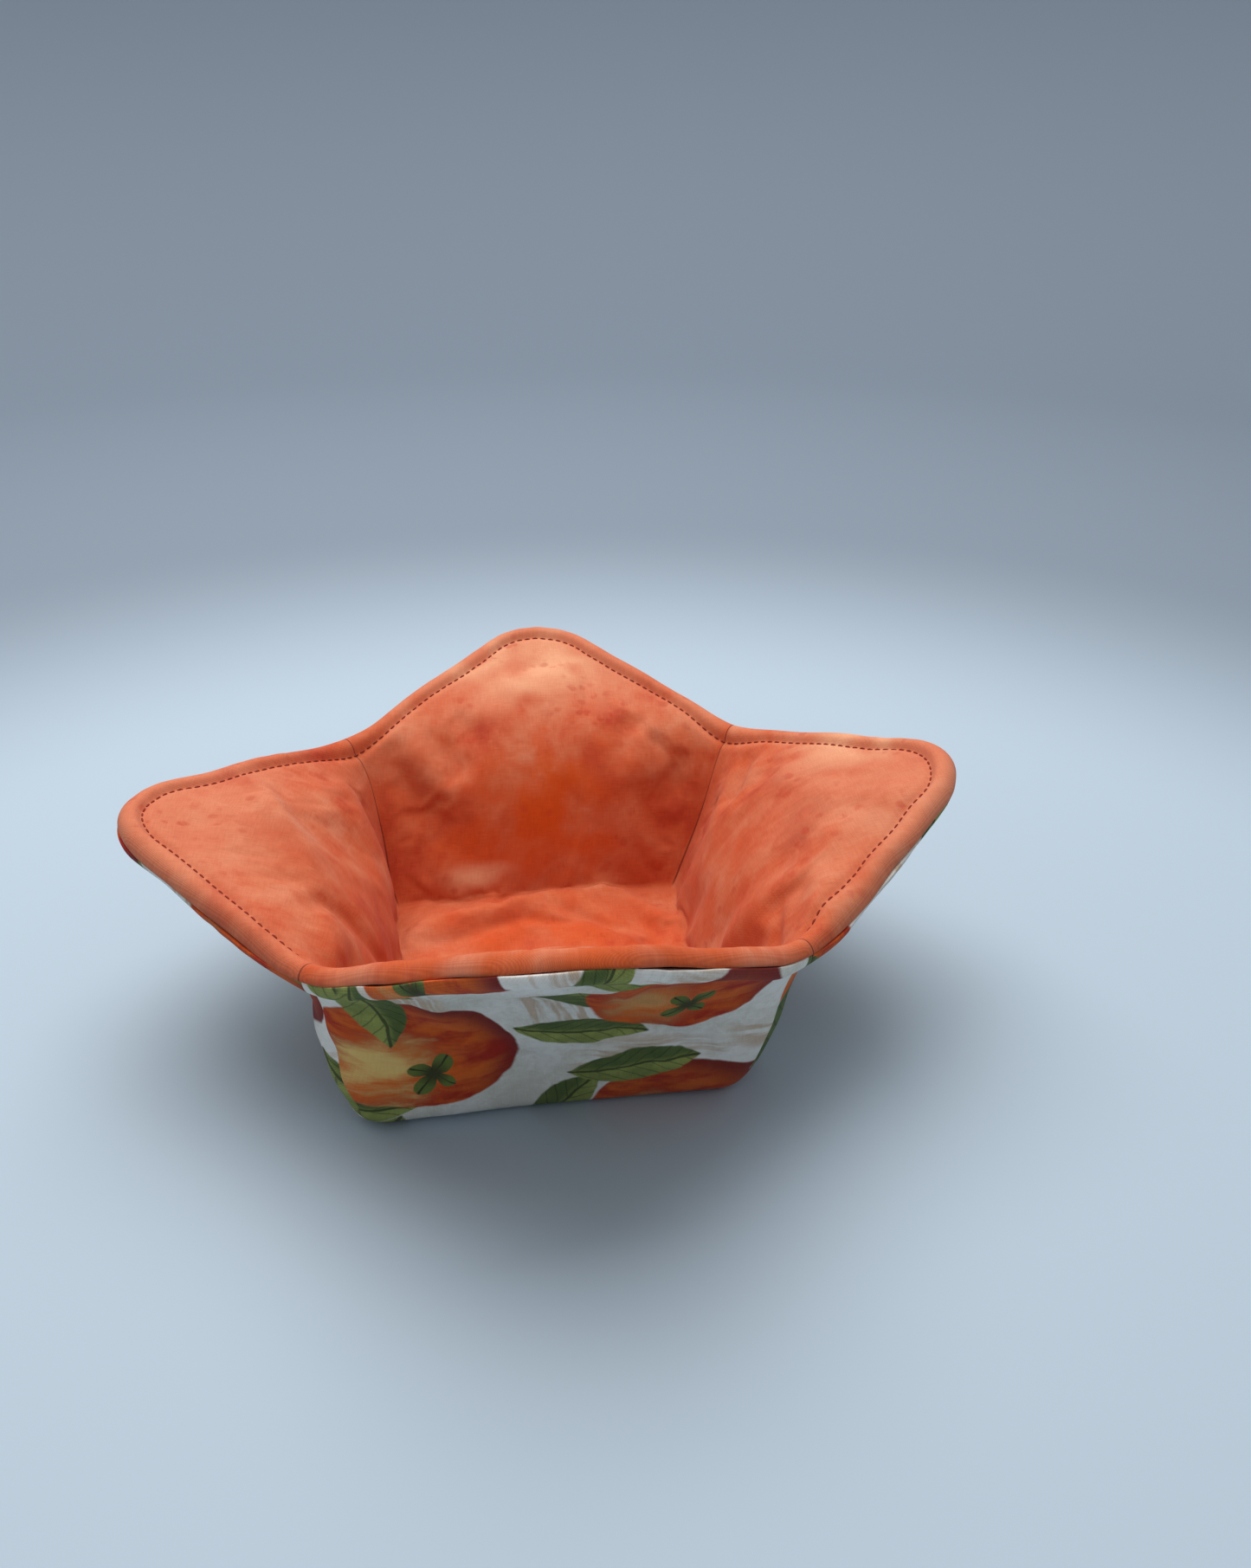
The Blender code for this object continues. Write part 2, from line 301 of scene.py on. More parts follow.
# %% Folds of each cloth: line, breadth and push
LINING_FOLDS = [
    ([(-79, 33, 59), (-64, 4, 52), (-54, -30, 41)], 6.0, (1.3, 0.0, 1.6)),
    ([(-68, -3, 52), (-52, -30, 36)], 3.5, (-1.1, 0.0, -1.0)),
    ([(-59, -14, 46), (-47, -11, 26)], 3.2, (-1.6, 0.0, -0.4)),
    ([(-56, 8, 38), (-48, -20, 24)], 6.0, (1.8, 0.0, 0.3)),
    ([(-39, 66, 48), (-34, 58, 32)], 4.5, (0.0, 1.9, -0.5)),
    ([(-30, 66, 46), (-24, 58, 34)], 5.0, (0.0, -1.2, 0.3)),
    ([(42, 62, 46), (46, 56, 36)], 4.0, (0.0, 1.6, -0.4)),
    ([(36, 64, 49), (38, 58, 40)], 4.0, (0.0, -1.3, 0.3)),
    ([(65, 44, 49), (60, 35, 42)], 4.0, (1.7, 0.0, -0.4)),
    ([(66, 36, 51), (60, 27, 42)], 4.0, (-1.2, 0.0, 0.3)),
    ([(94, -9, 65), (68, -26, 53), (51, -21, 28)], 5.0, (-1.5, 0.0, 1.8)),
    ([(64, -15, 46), (50, -10, 22)], 6.0, (1.4, 0.0, 0.0)),
    ([(70, -34, 55), (66, -42, 54)], 4.5, (-1.6, 0.0, 1.6)),
    ([(62, -30, 45), (55, -41, 42)], 3.0, (1.5, 0.0, -0.5)),
    ([(-31, 29, 7), (-5, 36, 7), (20, 40, 7)], 6.0, (0.0, -0.4, 2.6)),
    ([(23, 40, 7), (39, 24, 7)], 5.0, (0.0, 0.0, 2.2)),
    ([(-16, 20, 7), (-8, 8, 7)], 11.0, (0.0, 0.0, 2.4)),
    ([(20, 16, 7), (28, -6, 7)], 11.0, (0.0, 0.0, 2.0)),
    ([(-24, 22, 7), (-4, 28, 7), (8, 24, 7)], 3.5, (0.0, 0.0, -1.3)),
    ([(6, 34, 7), (22, 20, 7)], 3.5, (0.0, 0.0, -1.2)),
]
COVER_FOLDS = [
    ([(-50, -44, 6), (-54, -42, 27)], 10.0, (-4.6, -2.4, 0.0)),
    ([(-30, -50, 10), (-44, -48, 12)], 12.0, (0.0, -1.8, 0.0)),
    ([(-57, -38, 36), (-50, -50, 22)], 4.0, (1.2, 1.2, 0.0)),
    ([(50, -44, 12), (54, -44, 22)], 9.0, (1.8, -0.8, 0.0)),
    ([(10, -56, 28), (34, -52, 14)], 7.0, (0.0, -0.9, 0.0)),
    ([(-18, -58, 32), (-2, -52, 14)], 5.0, (0.0, 0.7, 0.0)),
]
FOLDS = {-1: LINING_FOLDS, 1: COVER_FOLDS}
print(len(LINING_FOLDS), "folds in the lining and", len(COVER_FOLDS), "in the cover")

# %% Push points by the folds
UNEVEN_WAVES = 10
deepest = max(math.hypot(*push) for _, _, push in LINING_FOLDS + COVER_FOLDS)
print("deepest push", round(deepest, 1), "mm")


def line_distance(points, start, end):
    """Distance in space from points to the nearest place on a line."""
    line = end - start
    share = np.clip(((points - start) @ line) / (line @ line), 0.0, 1.0)
    return np.linalg.norm(points - start - share[:, None] * line, axis=1)


def folded(points, facing):
    """Points of a face, pushed by the folds that lie near them."""
    moved = points.copy()
    for path, breadth, push in FOLDS[facing]:
        path = np.array(path, float) / 1000.0
        away = np.min([line_distance(points, a, b) for a, b in zip(path, path[1:])], axis=0)
        share = np.exp(-(away / (breadth / 1000.0)) ** 2)
        moved += share[:, None] * np.array(push) / 1000.0
    return moved


def unevenness(points, seed, size):
    """Soft random rise and fall in space, from about -1 to 1, with features of a size."""
    chance = np.random.default_rng(seed)
    waves = chance.normal(0.0, 1.0, (UNEVEN_WAVES, 3))
    turns = (2 * math.pi / size) * chance.uniform(0.6, 1.4, (UNEVEN_WAVES, 1))
    waves *= turns / np.linalg.norm(waves, axis=1)[:, None]
    return np.sin(points @ waves.T + chance.uniform(0.0, 6.3, UNEVEN_WAVES)).sum(1) / 3.5


# %% [markdown]
# ## The section through the edge
# Seen cut through, the cloth comes up the wall, is pulled in by the topstitching, swells into a
# padded roll, and turns round it into the seam that joins lining and cover. Its allowance lies
# inside. A closed body of this section has a real edge to catch the light.

# %% Rows of the section, from the floor's fold to the seam allowance
NEAR = 0.00006
ROLL_ROUND = 0.0034
ROLL_SWELL = 0.0006
ROLL_BREADTH = 0.003
STITCH_PULL = 0.0014
STITCH_BREADTH = 0.0013
SEAM_DIP = 0.0007
SEAM_TURN = 14.0
WALL_ROWS = 34
FOLD_ROWS = 5
BORDER = 0.0125
INSETS = [0.0112, 0.0100, 0.0090, 0.0081, 0.0074, 0.0068,
          TOPSTITCH_INSET, 0.0059, 0.0053, 0.0046, 0.0040]
ROLL_STEPS = 8
BACK_ROWS = 5


def padding(inset):
    """Distance of the face from the middle layer, at an inset from the edge."""
    swollen = ROLL_SWELL * np.exp(-((inset - ROLL_ROUND) / ROLL_BREADTH) ** 2)
    pulled = STITCH_PULL * np.exp(-((inset - TOPSTITCH_INSET) / STITCH_BREADTH) ** 2)
    return HALF_WALL + swollen - pulled


def edge_rows(facing):
    """Inset and offset of each row from the border to the seam, and into its dip."""
    rows = [(inset, padding(inset)) for inset in INSETS]
    top = padding(ROLL_ROUND)
    last = SEAM_TURN * facing
    for angle in np.radians(np.linspace(90.0, last, ROLL_STEPS)):
        rows.append((ROLL_ROUND - ROLL_ROUND * math.cos(angle), top * math.sin(angle)))
    inset, offset = rows[-1]
    rows[-1] = inset, offset + NEAR
    rows.append((inset + SEAM_DIP, offset + NEAR))
    return rows


print(len(edge_rows(1)), "rows in the edge")

# %% [markdown]
# ## Puckers
# A row of stitches shortens the cloth a little, so it ripples along the row. The ripples are
# uneven, a few millimetres long, and strongest in the notches, where the edge has to bend.

# %% Ripples along the rim


def ripples(seed):
    """Uneven waves once round the rim, from -1 to 1, which meet at the start."""
    place = RIM_PLACE / RIM_LENGTH * 2 * math.pi
    chance = np.random.default_rng(seed)
    waves = sum(np.sin(place * chance.integers(45, 110) + chance.uniform(0, 6.3)) for _ in range(6))
    swells = sum(np.sin(place * chance.integers(4, 14) + chance.uniform(0, 6.3)) for _ in range(3))
    return waves / 3.0 * (0.65 + 0.35 * swells / 2.0)


RIPPLE = 0.00024
RIPPLE_INSET, RIPPLE_BREADTH = 0.0045, 0.005
NOTCH_RIPPLE = 0.0004
NOTCH_RIPPLE_PLACE, NOTCH_RIPPLE_SPAN = 0.012, 0.014
beside_notch = np.exp(-((seam_distance - NOTCH_RIPPLE_PLACE) / NOTCH_RIPPLE_SPAN) ** 2)
strength = RIPPLE + NOTCH_RIPPLE * beside_notch
FACE_RIPPLES = {1: strength * ripples(5), -1: strength * ripples(9)}
print("ripples up to", round(1000 * float(np.abs(FACE_RIPPLES[-1]).max()), 2), "mm high")

# %% [markdown]
# ## One closed body for each cloth
# The face, the roll of the edge and the back that touches the other layer make one closed form,
# as a stuffed piece is. The floor is a grid whose lines run on into the columns of the walls.
# Each corner of each face is also given its place on the flat pattern, in metres, and that is
# where the weave and the print come from, so both break at the dart seams as on real cloth.

# %% One row of points on the face
LOFT = {1: 0.0025, -1: 0.001}
SEAM_GROOVE = 0.0009
FLOOR_PUFF = 0.0012


def floor_push(x, y, facing):
    """How the padded floor rises in its middle, zero on its outline."""
    edge = core_width(ROOT_REACH)
    inner = (1.0 - (x / edge) ** 2) * (1.0 - (y / edge) ** 2)
    return FLOOR_PUFF * inner * (facing < 0)


def face_row(reach, offset, facing, up):
    """One row of the face: points, and the pattern places for both sides of a dart seam."""
    core, normal = column_core(reach)
    side_a, side_b = first[:, 0].astype(int), second[:, 0].astype(int)
    width_a = first[:, 2] + first[:, 3] * (reach - ROOT_REACH)
    width_b = second[:, 2] + second[:, 3] * (reach - ROOT_REACH)
    puff = np.where(shares == 0.0, math.sin(math.pi * up) * (1.0 - first[:, 1] ** 2), 0.0)
    groove = SEAM_GROOVE * np.exp(-((shares - 0.5) / 0.2) ** 2) * (shares > 0.0)
    depth = CORE_DEPTH + (offset + LOFT[facing] * puff - groove * min(1.0, 8 * up + 0.2)) * facing
    points = eased(core + normal * depth[:, None], up)
    extra_a = np.where(shares > 0.0, shares * SEAM_GAP, 0.0)
    extra_b = np.where(shares > 0.0, (1.0 - shares) * SEAM_GAP, 0.0)
    place_a = turned(side_a, FLOOR_HALF + reach, width_a + extra_a, np.zeros_like(reach))
    place_b = turned(side_b, FLOOR_HALF + reach, width_b - extra_b, np.zeros_like(reach))
    return points, place_a[:, :2], place_b[:, :2]


print("floor of the lining puffed by", round(1000 * FLOOR_PUFF, 1), "mm")

# %% The rounded fold at the floor, and all rows in turn


def fold_row(place, offset, facing):
    """One row of the rounded fold at the floor's edge."""
    reach = np.full(COLUMNS, ROOT_REACH)
    core, normal = column_core(reach)
    down = np.tile([0.0, 0.0, -1.0], (COLUMNS, 1))
    direction = slerp(down, normal, np.full(COLUMNS, place))
    points = core + direction * (CORE_DEPTH + offset * facing)
    _, place_a, place_b = face_row(reach, offset, facing, 0.0)
    flat = core[:, :2]
    return points, flat + (place_a - flat) * place, flat + (place_b - flat) * place


def rows_of(facing):
    """All rows of one closed body, and the number of the row that is stitched."""
    rim, factor = first[:, 4], first[:, 5]
    rows = [fold_row(step / FOLD_ROWS, HALF_WALL, facing) for step in range(FOLD_ROWS)]
    top = rim - factor * BORDER
    for step in range(WALL_ROWS + 1):
        share = step / WALL_ROWS
        rows.append(face_row(ROOT_REACH + (top - ROOT_REACH) * share, HALF_WALL, facing, share))
    stitched = len(rows) + INSETS.index(TOPSTITCH_INSET)
    for inset, offset in edge_rows(facing):
        share = math.exp(-((inset - RIPPLE_INSET) / RIPPLE_BREADTH) ** 2)
        waves = FACE_RIPPLES[facing] * share
        rows.append(face_row(rim - factor * inset, offset + waves, facing, 1.0))
    face_count = len(rows)
    rows.append(face_row(rim - factor * SEAM_ALLOWANCE, NEAR, facing, 1.0))
    for step in range(BACK_ROWS):
        share = 1.0 - (step + 1) / (BACK_ROWS + 1)
        reach = ROOT_REACH + (rim - factor * SEAM_ALLOWANCE - ROOT_REACH) * share
        rows.append(face_row(reach, NEAR, facing, share))
    rows.append(fold_row(0.5, NEAR, facing))
    rows.append(fold_row(0.0, NEAR, facing))
    return rows, stitched, face_count


print(len(rows_of(-1)[0]), "rows from the floor to the edge and back")

# %% Folds and unevenness of a face, as axis, seed and size
UNEVEN = 0.00035
UNEVEN_WAYS = [(2, 3, 0.030), (0, 13, 0.024), (1, 23, 0.024)]
FOOT_FLAT, FOOT_FREE = 0.001, 0.012


def worn(points, facing):
    """A face with its folds, and a soft unevenness all over, none where the cozy stands."""
    share = smooth_step(points[:, 2], FOOT_FLAT, FOOT_FREE) if facing > 0 else 1.0
    points = folded(points, facing)
    for axis, seed, size in UNEVEN_WAYS:
        points[:, axis] += UNEVEN * unevenness(points, seed + facing, size) * share
    return points


def floor_grid(facing, offset):
    """Points inside the floor's outline, on the face or on the back."""
    edge = core_width(ROOT_REACH)
    lines = np.linspace(-edge, edge, PER_WALL + 1)[1:-1]
    x, y = np.meshgrid(lines, lines, indexing="ij")
    push = floor_push(x, y, facing) if offset == HALF_WALL else 0.0
    return np.stack([x, y, HALF_WALL - offset * facing + push + 0.0 * x], -1).reshape(-1, 3)


print(len(floor_grid(-1, NEAR)), "points inside the floor's outline")

# %% Where the cloth is held, as shares of a wall's width and height
HELD_ACROSS = 0.88
HELD_ABOVE = 0.86
HELD_BELOW = 0.25


def holding(count, face_count, facing):
    """How firmly each point is held while the cloth settles: 1 at seams, 0 where it is free."""
    held = np.ones(count)
    beside_seam = np.where(shares > 0.0, 1.0, smooth_step(np.abs(first[:, 1]), HELD_ACROSS, 1.0))
    for row in range(FOLD_ROWS + WALL_ROWS):
        share = max(0.0, (row - FOLD_ROWS) / WALL_ROWS)
        rim = smooth_step(share, HELD_ABOVE, 1.0)
        base = smooth_step(HELD_BELOW - share, 0.0, HELD_BELOW) if facing > 0 else 0.0
        held[row * COLUMNS:(row + 1) * COLUMNS] = np.maximum(np.maximum(beside_seam, rim), base)
    inside = count - 2 * (PER_WALL - 1) ** 2
    if facing < 0:
        held[inside:inside + (PER_WALL - 1) ** 2] = 0.0
    return held


print(int((shares > 0.0).sum()), "columns held in the dart seams")

# %% Pieces of one closed mesh
STRIDE = PER_WALL + PER_SEAM


def grid_point(i, j, inside, ring):
    """Vertex of a floor grid's point i, j, on a ring where it is on the outline."""
    if 0 < i < PER_WALL and 0 < j < PER_WALL:
        return inside + (i - 1) * (PER_WALL - 1) + j - 1
    if i == PER_WALL:
        return ring + RIGHT * STRIDE + j
    if j == PER_WALL:
        return ring + BACK * STRIDE + PER_WALL - i
    if i == 0:
        return ring + LEFT * STRIDE + PER_WALL - j
    return ring + FRONT * STRIDE + i


def closed_mesh(name, points, faces, maps, held):
    """A mesh with its pattern map and its held points, each place with one vertex only."""
    mesh = bpy.data.meshes.new(name)
    mesh.from_pydata(points.tolist(), [], faces)
    mesh.attributes.new("held", "FLOAT", "POINT").data.foreach_set("value", held)
    layer = mesh.uv_layers.new(name="pattern")
    layer.uv.foreach_set("vector", np.array([place for face in maps for place in face]).ravel())
    body = bmesh.new()
    body.from_mesh(mesh)
    bmesh.ops.remove_doubles(body, verts=body.verts, dist=1e-7)
    bmesh.ops.recalc_face_normals(body, faces=body.faces)
    body.to_mesh(mesh)
    body.free()
    mesh.shade_smooth()
    return mesh


print(STRIDE, "columns from one side of the floor to the next")

# %% Join the rows and the floor


def cloth_body(name, facing):
    """A closed body of one cloth, and the line that is stitched."""
    rows, stitched, face_count = rows_of(facing)
    points = [slump(row[0]) for row in rows]
    points[:face_count] = [worn(row, facing) for row in points[:face_count]]
    seam_line = points[stitched]
    points = np.concatenate(points)
    faces, maps = [], []
    for offset, ring in ((HALF_WALL, 0), (NEAR, (len(rows) - 1) * COLUMNS)):
        inside = len(points)
        grid = floor_grid(facing, offset)
        points = np.concatenate([points, worn(grid, facing) if offset == HALF_WALL else grid])
        for i in range(PER_WALL):
            for j in range(PER_WALL):
                corners = [(i, j), (i + 1, j), (i + 1, j + 1), (i, j + 1)]
                quad = [grid_point(*corner, inside, ring) for corner in corners]
                faces.append(quad)
                maps.append([tuple(points[v][:2]) for v in quad])
    for row in range(len(rows) - 1):
        for column in range(COLUMNS):
            after = (column + 1) % COLUMNS
            side_map = 1 if shares[column] < 0.5 else 2
            corners = [(row, column), (row, after), (row + 1, after), (row + 1, column)]
            faces.append([ring * COLUMNS + place for ring, place in corners])
            maps.append([tuple(rows[ring][side_map][place]) for ring, place in corners])
    mesh = closed_mesh(name, points, faces, maps, holding(len(points), face_count, facing))
    cloth = placed(name, mesh)
    print(name, len(mesh.polygons), "faces")
    return cloth, seam_line


lining, lining_seam = cloth_body("lining_cloth", -1)
cover, cover_seam = cloth_body("cover_cloth", 1)

# %% [markdown]
# ## Letting the cloth settle
# The folds above are where the maker's hands left them. The small slack between them is left to
# a cloth simulation: seams and rim are held, the cloth is a little too long for its place, and
# light pressure stands for the wadding, so it buckles softly between the seams as it would.

# %% A short simulation, with its result kept in the mesh
SETTLE_FRAMES = 20
MOST_MOVE = 0.0045


def settle(cloth, slack, pressure):
    """Runs a cloth simulation on a body and keeps its result, each move no more than a cap."""
    mesh = cloth.data
    start = np.array([vertex.co for vertex in mesh.vertices])
    held = np.empty(len(start))
    mesh.attributes["held"].data.foreach_get("value", held)
    group = cloth.vertex_groups.new(name="held")
    for index, weight in enumerate(held):
        group.add([index], float(weight), "REPLACE")
    physics = cloth.modifiers.new("settle", "CLOTH")
    fabric = physics.settings
    fabric.quality = 5
    fabric.mass = 0.02
    fabric.tension_stiffness = fabric.compression_stiffness = 20.0
    fabric.shear_stiffness = 6.7
    fabric.bending_stiffness = 0.5
    fabric.air_damping = 1.0
    fabric.vertex_group_mass = "held"
    fabric.shrink_min = -slack
    fabric.use_pressure = True
    fabric.uniform_pressure_force = pressure
    fabric.effector_weights.gravity = 0.0
    physics.collision_settings.use_collision = False
    physics.point_cache.frame_start, physics.point_cache.frame_end = 1, SETTLE_FRAMES
    for number in range(1, SETTLE_FRAMES + 1):
        bpy.context.scene.frame_set(number)
    moved = cloth.evaluated_get(bpy.context.evaluated_depsgraph_get()).data
    change = np.array([vertex.co for vertex in moved.vertices]) - start
    size = np.linalg.norm(change, axis=1, keepdims=True)
    change *= MOST_MOVE * np.tanh(size / MOST_MOVE) / np.maximum(size, 1e-9)
    change *= 1.0 - held[:, None]
    cloth.modifiers.remove(physics)
    bpy.context.scene.frame_set(1)
    mesh.vertices.foreach_set("co", (start + change).ravel())
    cloth.vertex_groups.clear()
    most = float(np.linalg.norm(change, axis=1).max())
    print(cloth.name, "settled by", round(1000 * most, 1), "mm at most")


settle(lining, slack=0.03, pressure=1.2)
settle(cover, slack=0.015, pressure=1.0)

# %% [markdown]
# ## Smoothing
# One subdivision rounds the small steps between the rows. It is applied, so that what follows,
# the stitches above all, can lie on the final surface.

# %% Subdivide both once


def subdivided(cloth, levels):
    """Adds a subdivision and applies it."""
    smooth = cloth.modifiers.new("smooth", "SUBSURF")
    smooth.levels = smooth.render_levels = levels
    bpy.context.view_layer.objects.active = cloth
    bpy.ops.object.modifier_apply(modifier=smooth.name)
    triangles = sum(len(face.vertices) - 2 for face in cloth.data.polygons)
    print(cloth.name, triangles, "triangles")


for cloth in (lining, cover):
    subdivided(cloth, levels=1)

# %% [markdown]
# ## Writing a finish as sums
# A material is a tree of nodes, and its maths is easier to read as sums. One small class wraps
# an output socket, so that adding or multiplying it adds the Math node that does so, and one
# method adds every other node.

# %% The class for sums, and the one for a finish


class Signal:
    """A number or colour that varies over the surface."""

    def __init__(self, finish, socket):
        self.finish, self.socket = finish, socket

    def math(self, operation, *others):
        """Any other sum: the Math node's operation on this and others."""
        inputs = dict(enumerate([self, *others]))
        return self.finish.node("ShaderNodeMath", {"operation": operation}, inputs)

    def __add__(self, other):
        return self.math("ADD", other)

    __radd__ = __add__

    def __mul__(self, other):
        return self.math("MULTIPLY", other)

    __rmul__ = __mul__

    def __sub__(self, other):
        return self.math("SUBTRACT", other)

    def __rsub__(self, other):
        return self.finish.node("ShaderNodeMath", {"operation": "SUBTRACT"}, {0: other, 1: self})

    def __truediv__(self, other):
        return self.math("DIVIDE", other)

    def __rtruediv__(self, other):
        return self.finish.node("ShaderNodeMath", {"operation": "DIVIDE"}, {0: other, 1: self})


class Finish:
    """A material with one shader, whose nodes are written as sums."""

    def __init__(self, name, **constants):
        self.material = bpy.data.materials.new(name)
        self.material.use_nodes = True
        self.tree = self.material.node_tree
        self.shader = self.tree.nodes["Principled BSDF"]
        for socket, value in constants.items():
            self.shader.inputs[socket.replace("_", " ")].default_value = value

    def node(self, kind, settings, inputs, output=0):
        """Adds a node: its settings first, then its sockets."""
        node = self.tree.nodes.new(kind)
        stops = settings.pop("stops", None)
        for key, value in settings.items():
            setattr(node, key, value)
        if stops:
            while len(node.color_ramp.elements) < len(stops):
                node.color_ramp.elements.new(0.5)
            for element, (position, colour) in zip(node.color_ramp.elements, stops):
                element.position, element.color = position, (*colour, 1.0)
        for key, value in inputs.items():
            self.feed(node.inputs[key], value)
        return Signal(self, node.outputs[output])

    def feed(self, socket, value):
        """Links a signal to a socket, or sets a plain value."""
        if isinstance(value, Signal):
            self.tree.links.new(value.socket, socket)
        else:
            plain = hasattr(value, "__len__") and len(value) == 3 and socket.type == "RGBA"
            socket.default_value = (*value, 1.0) if plain else value

    def mix(self, share, colour_a, colour_b, blend="MIX"):
        """A share of one colour over another."""
        settings = {"data_type": "RGBA", "blend_type": blend}
        return self.node("ShaderNodeMix", settings, {0: share, 6: colour_a, 7: colour_b}, 2)

    def step(self, value, low, high):
        """0 below low, 1 above high, and smooth between."""
        settings = {"interpolation_type": "SMOOTHSTEP"}
        return self.node("ShaderNodeMapRange", settings, {0: value, 1: low, 2: high})

    def noise(self, place, size, detail=2.0, roughness=0.5, output=0):
        """Noise whose features are about a size wide, in the units of the place."""
        inputs = {"Vector": place, "Scale": 1.0 / size, "Detail": detail, "Roughness": roughness}
        return self.node("ShaderNodeTexNoise", {}, inputs, output)

    def vector(self, operation, *values):
        """The Vector Math node's operation on some vectors."""
        return self.node("ShaderNodeVectorMath", {"operation": operation}, dict(enumerate(values)))

    def length(self, vector):
        """Length of a vector, as a number."""
        return self.node("ShaderNodeVectorMath", {"operation": "LENGTH"}, {0: vector}, 1)

    def join(self, x, y, z):
        """A vector from three numbers."""
        return self.node("ShaderNodeCombineXYZ", {}, {0: x, 1: y, 2: z})

    def split(self, vector):
        """The three numbers of a vector."""
        x = self.node("ShaderNodeSeparateXYZ", {}, {0: vector})
        outputs = x.socket.node.outputs
        return x, Signal(self, outputs[1]), Signal(self, outputs[2])

    def pattern(self):
        """Place on the flat cloth, in metres."""
        return self.node("ShaderNodeUVMap", {"uv_map": "pattern"}, {})

    def parts(self, vector):
        """The x and y of a vector."""
        return self.split(vector)[:2]


# %% [markdown]
# ## Weave
# Both cloths are plain-weave cotton: threads that cross over and under, each a little thicker or
# thinner along its length. Two sine waves that are multiplied give the over and under, and noise
# that is drawn out along one direction gives the uneven threads, the slubs. The same heights give
# the relief, and a painted shade: the colour is a little lighter on the raised threads and
# darker between them.

# %% Threads of a plain weave
PER_MM = 1000.0
# Painted shade of the weave: how much lighter the raised threads and darker the gaps are made.
WEAVE_SHADE_AMOUNT = 0.16
THREAD_RELIEF = 0.45
LINING_PITCH, COVER_PITCH = 0.42, 0.5
LINING_RELIEF, COVER_RELIEF = 0.00016, 0.00018
print("threads", LINING_PITCH, "mm apart in the lining and", COVER_PITCH, "in the cover")


def weave(finish, x, y, pitch):
    """Height of a plain weave, about 0 to 1, on places in millimetres."""
    turns = 2 * math.pi / pitch
    over = (x * turns).math("SINE") * (y * turns).math("SINE")
    across = finish.noise(finish.join(x * 3.0, y * 0.25, 0.0), 1.0, 1.0)
    along = finish.noise(finish.join(x * 0.25, y * 3.0, 7.0), 1.0, 1.0)
    return over * 0.25 + across * 0.5 + along * 0.5


def woven(finish, colour, place, pitch, depth):
    """Gives a colour the painted shade of a weave, lighter on raised threads and darker between them,
    and the weave's relief, and returns the finished material.
    """
    x, y = finish.parts(place)
    threads = weave(finish, x, y, pitch)
    # Painted shade: grey from the thread height, laid over the colour.
    weave_shade = finish.mix(finish.step(threads, 0.2, 0.8), (0.0, 0.0, 0.0), (1.0, 1.0, 1.0))
    colour = finish.mix(WEAVE_SHADE_AMOUNT, colour, weave_shade, "OVERLAY")
    finish.feed(finish.shader.inputs["Base Color"], colour)
    relief = {"Strength": THREAD_RELIEF, "Distance": depth, "Height": threads}
    finish.feed(finish.shader.inputs["Normal"], finish.node("ShaderNodeBump", {}, relief))
    return finish.material


def wobbled(finish, place, size, amount, detail=3.0):
    """Places that are shifted a little at random, as an edge painted by hand is."""
    drift = finish.noise(place, size, detail, output=1)
    drift = finish.vector("SUBTRACT", drift, (0.5, 0.5, 0.5))
    drift = finish.node("ShaderNodeVectorMath", {"operation": "SCALE"}, {0: drift, 3: amount})
    return finish.vector("ADD", place, drift)


# %% [markdown]
# ## The mottled lining
# The lining is printed all over with a mottle of orange: pale peach, strong orange and brick,
# like paint that dried unevenly, with specks of brick in clusters. Noise at two sizes gives the
# mottle. A few soft patches are listed one by one. Most are painted light and shade: painted
# shade in deep orange low on the back wall, the other walls and the floor, painted light in
# peach up the flaps, and painted shade on the inner halves of the side flaps. One is a deeper
# orange on the front flap, and the brick ones are the cloth's own. Along the dart seams, where two
# edges meet in a narrow groove, a thin dark line of painted shade is drawn. A painted image
# would do too, but noise stays sharp at any distance and has no edge to hide.

# %% Base colours, and soft patches of painted shade, painted light and the cloth's own colour: middle and radii on the flat cloth in mm, colour, amount
MOTTLE = [(0.36, (0.46, 0.052, 0.018)), (0.45, (0.55, 0.090, 0.028)),
          (0.55, (0.58, 0.130, 0.050)), (0.66, (0.63, 0.20, 0.100))]
# Painted shade: the deep, strong orange low on the walls and floor inside the bowl, where shade and
# light bounced off the orange cloth fall.
PAINTED_DEEP_SHADE = (0.60, 0.072, 0.004)
BRICK = (0.44, 0.035, 0.012)
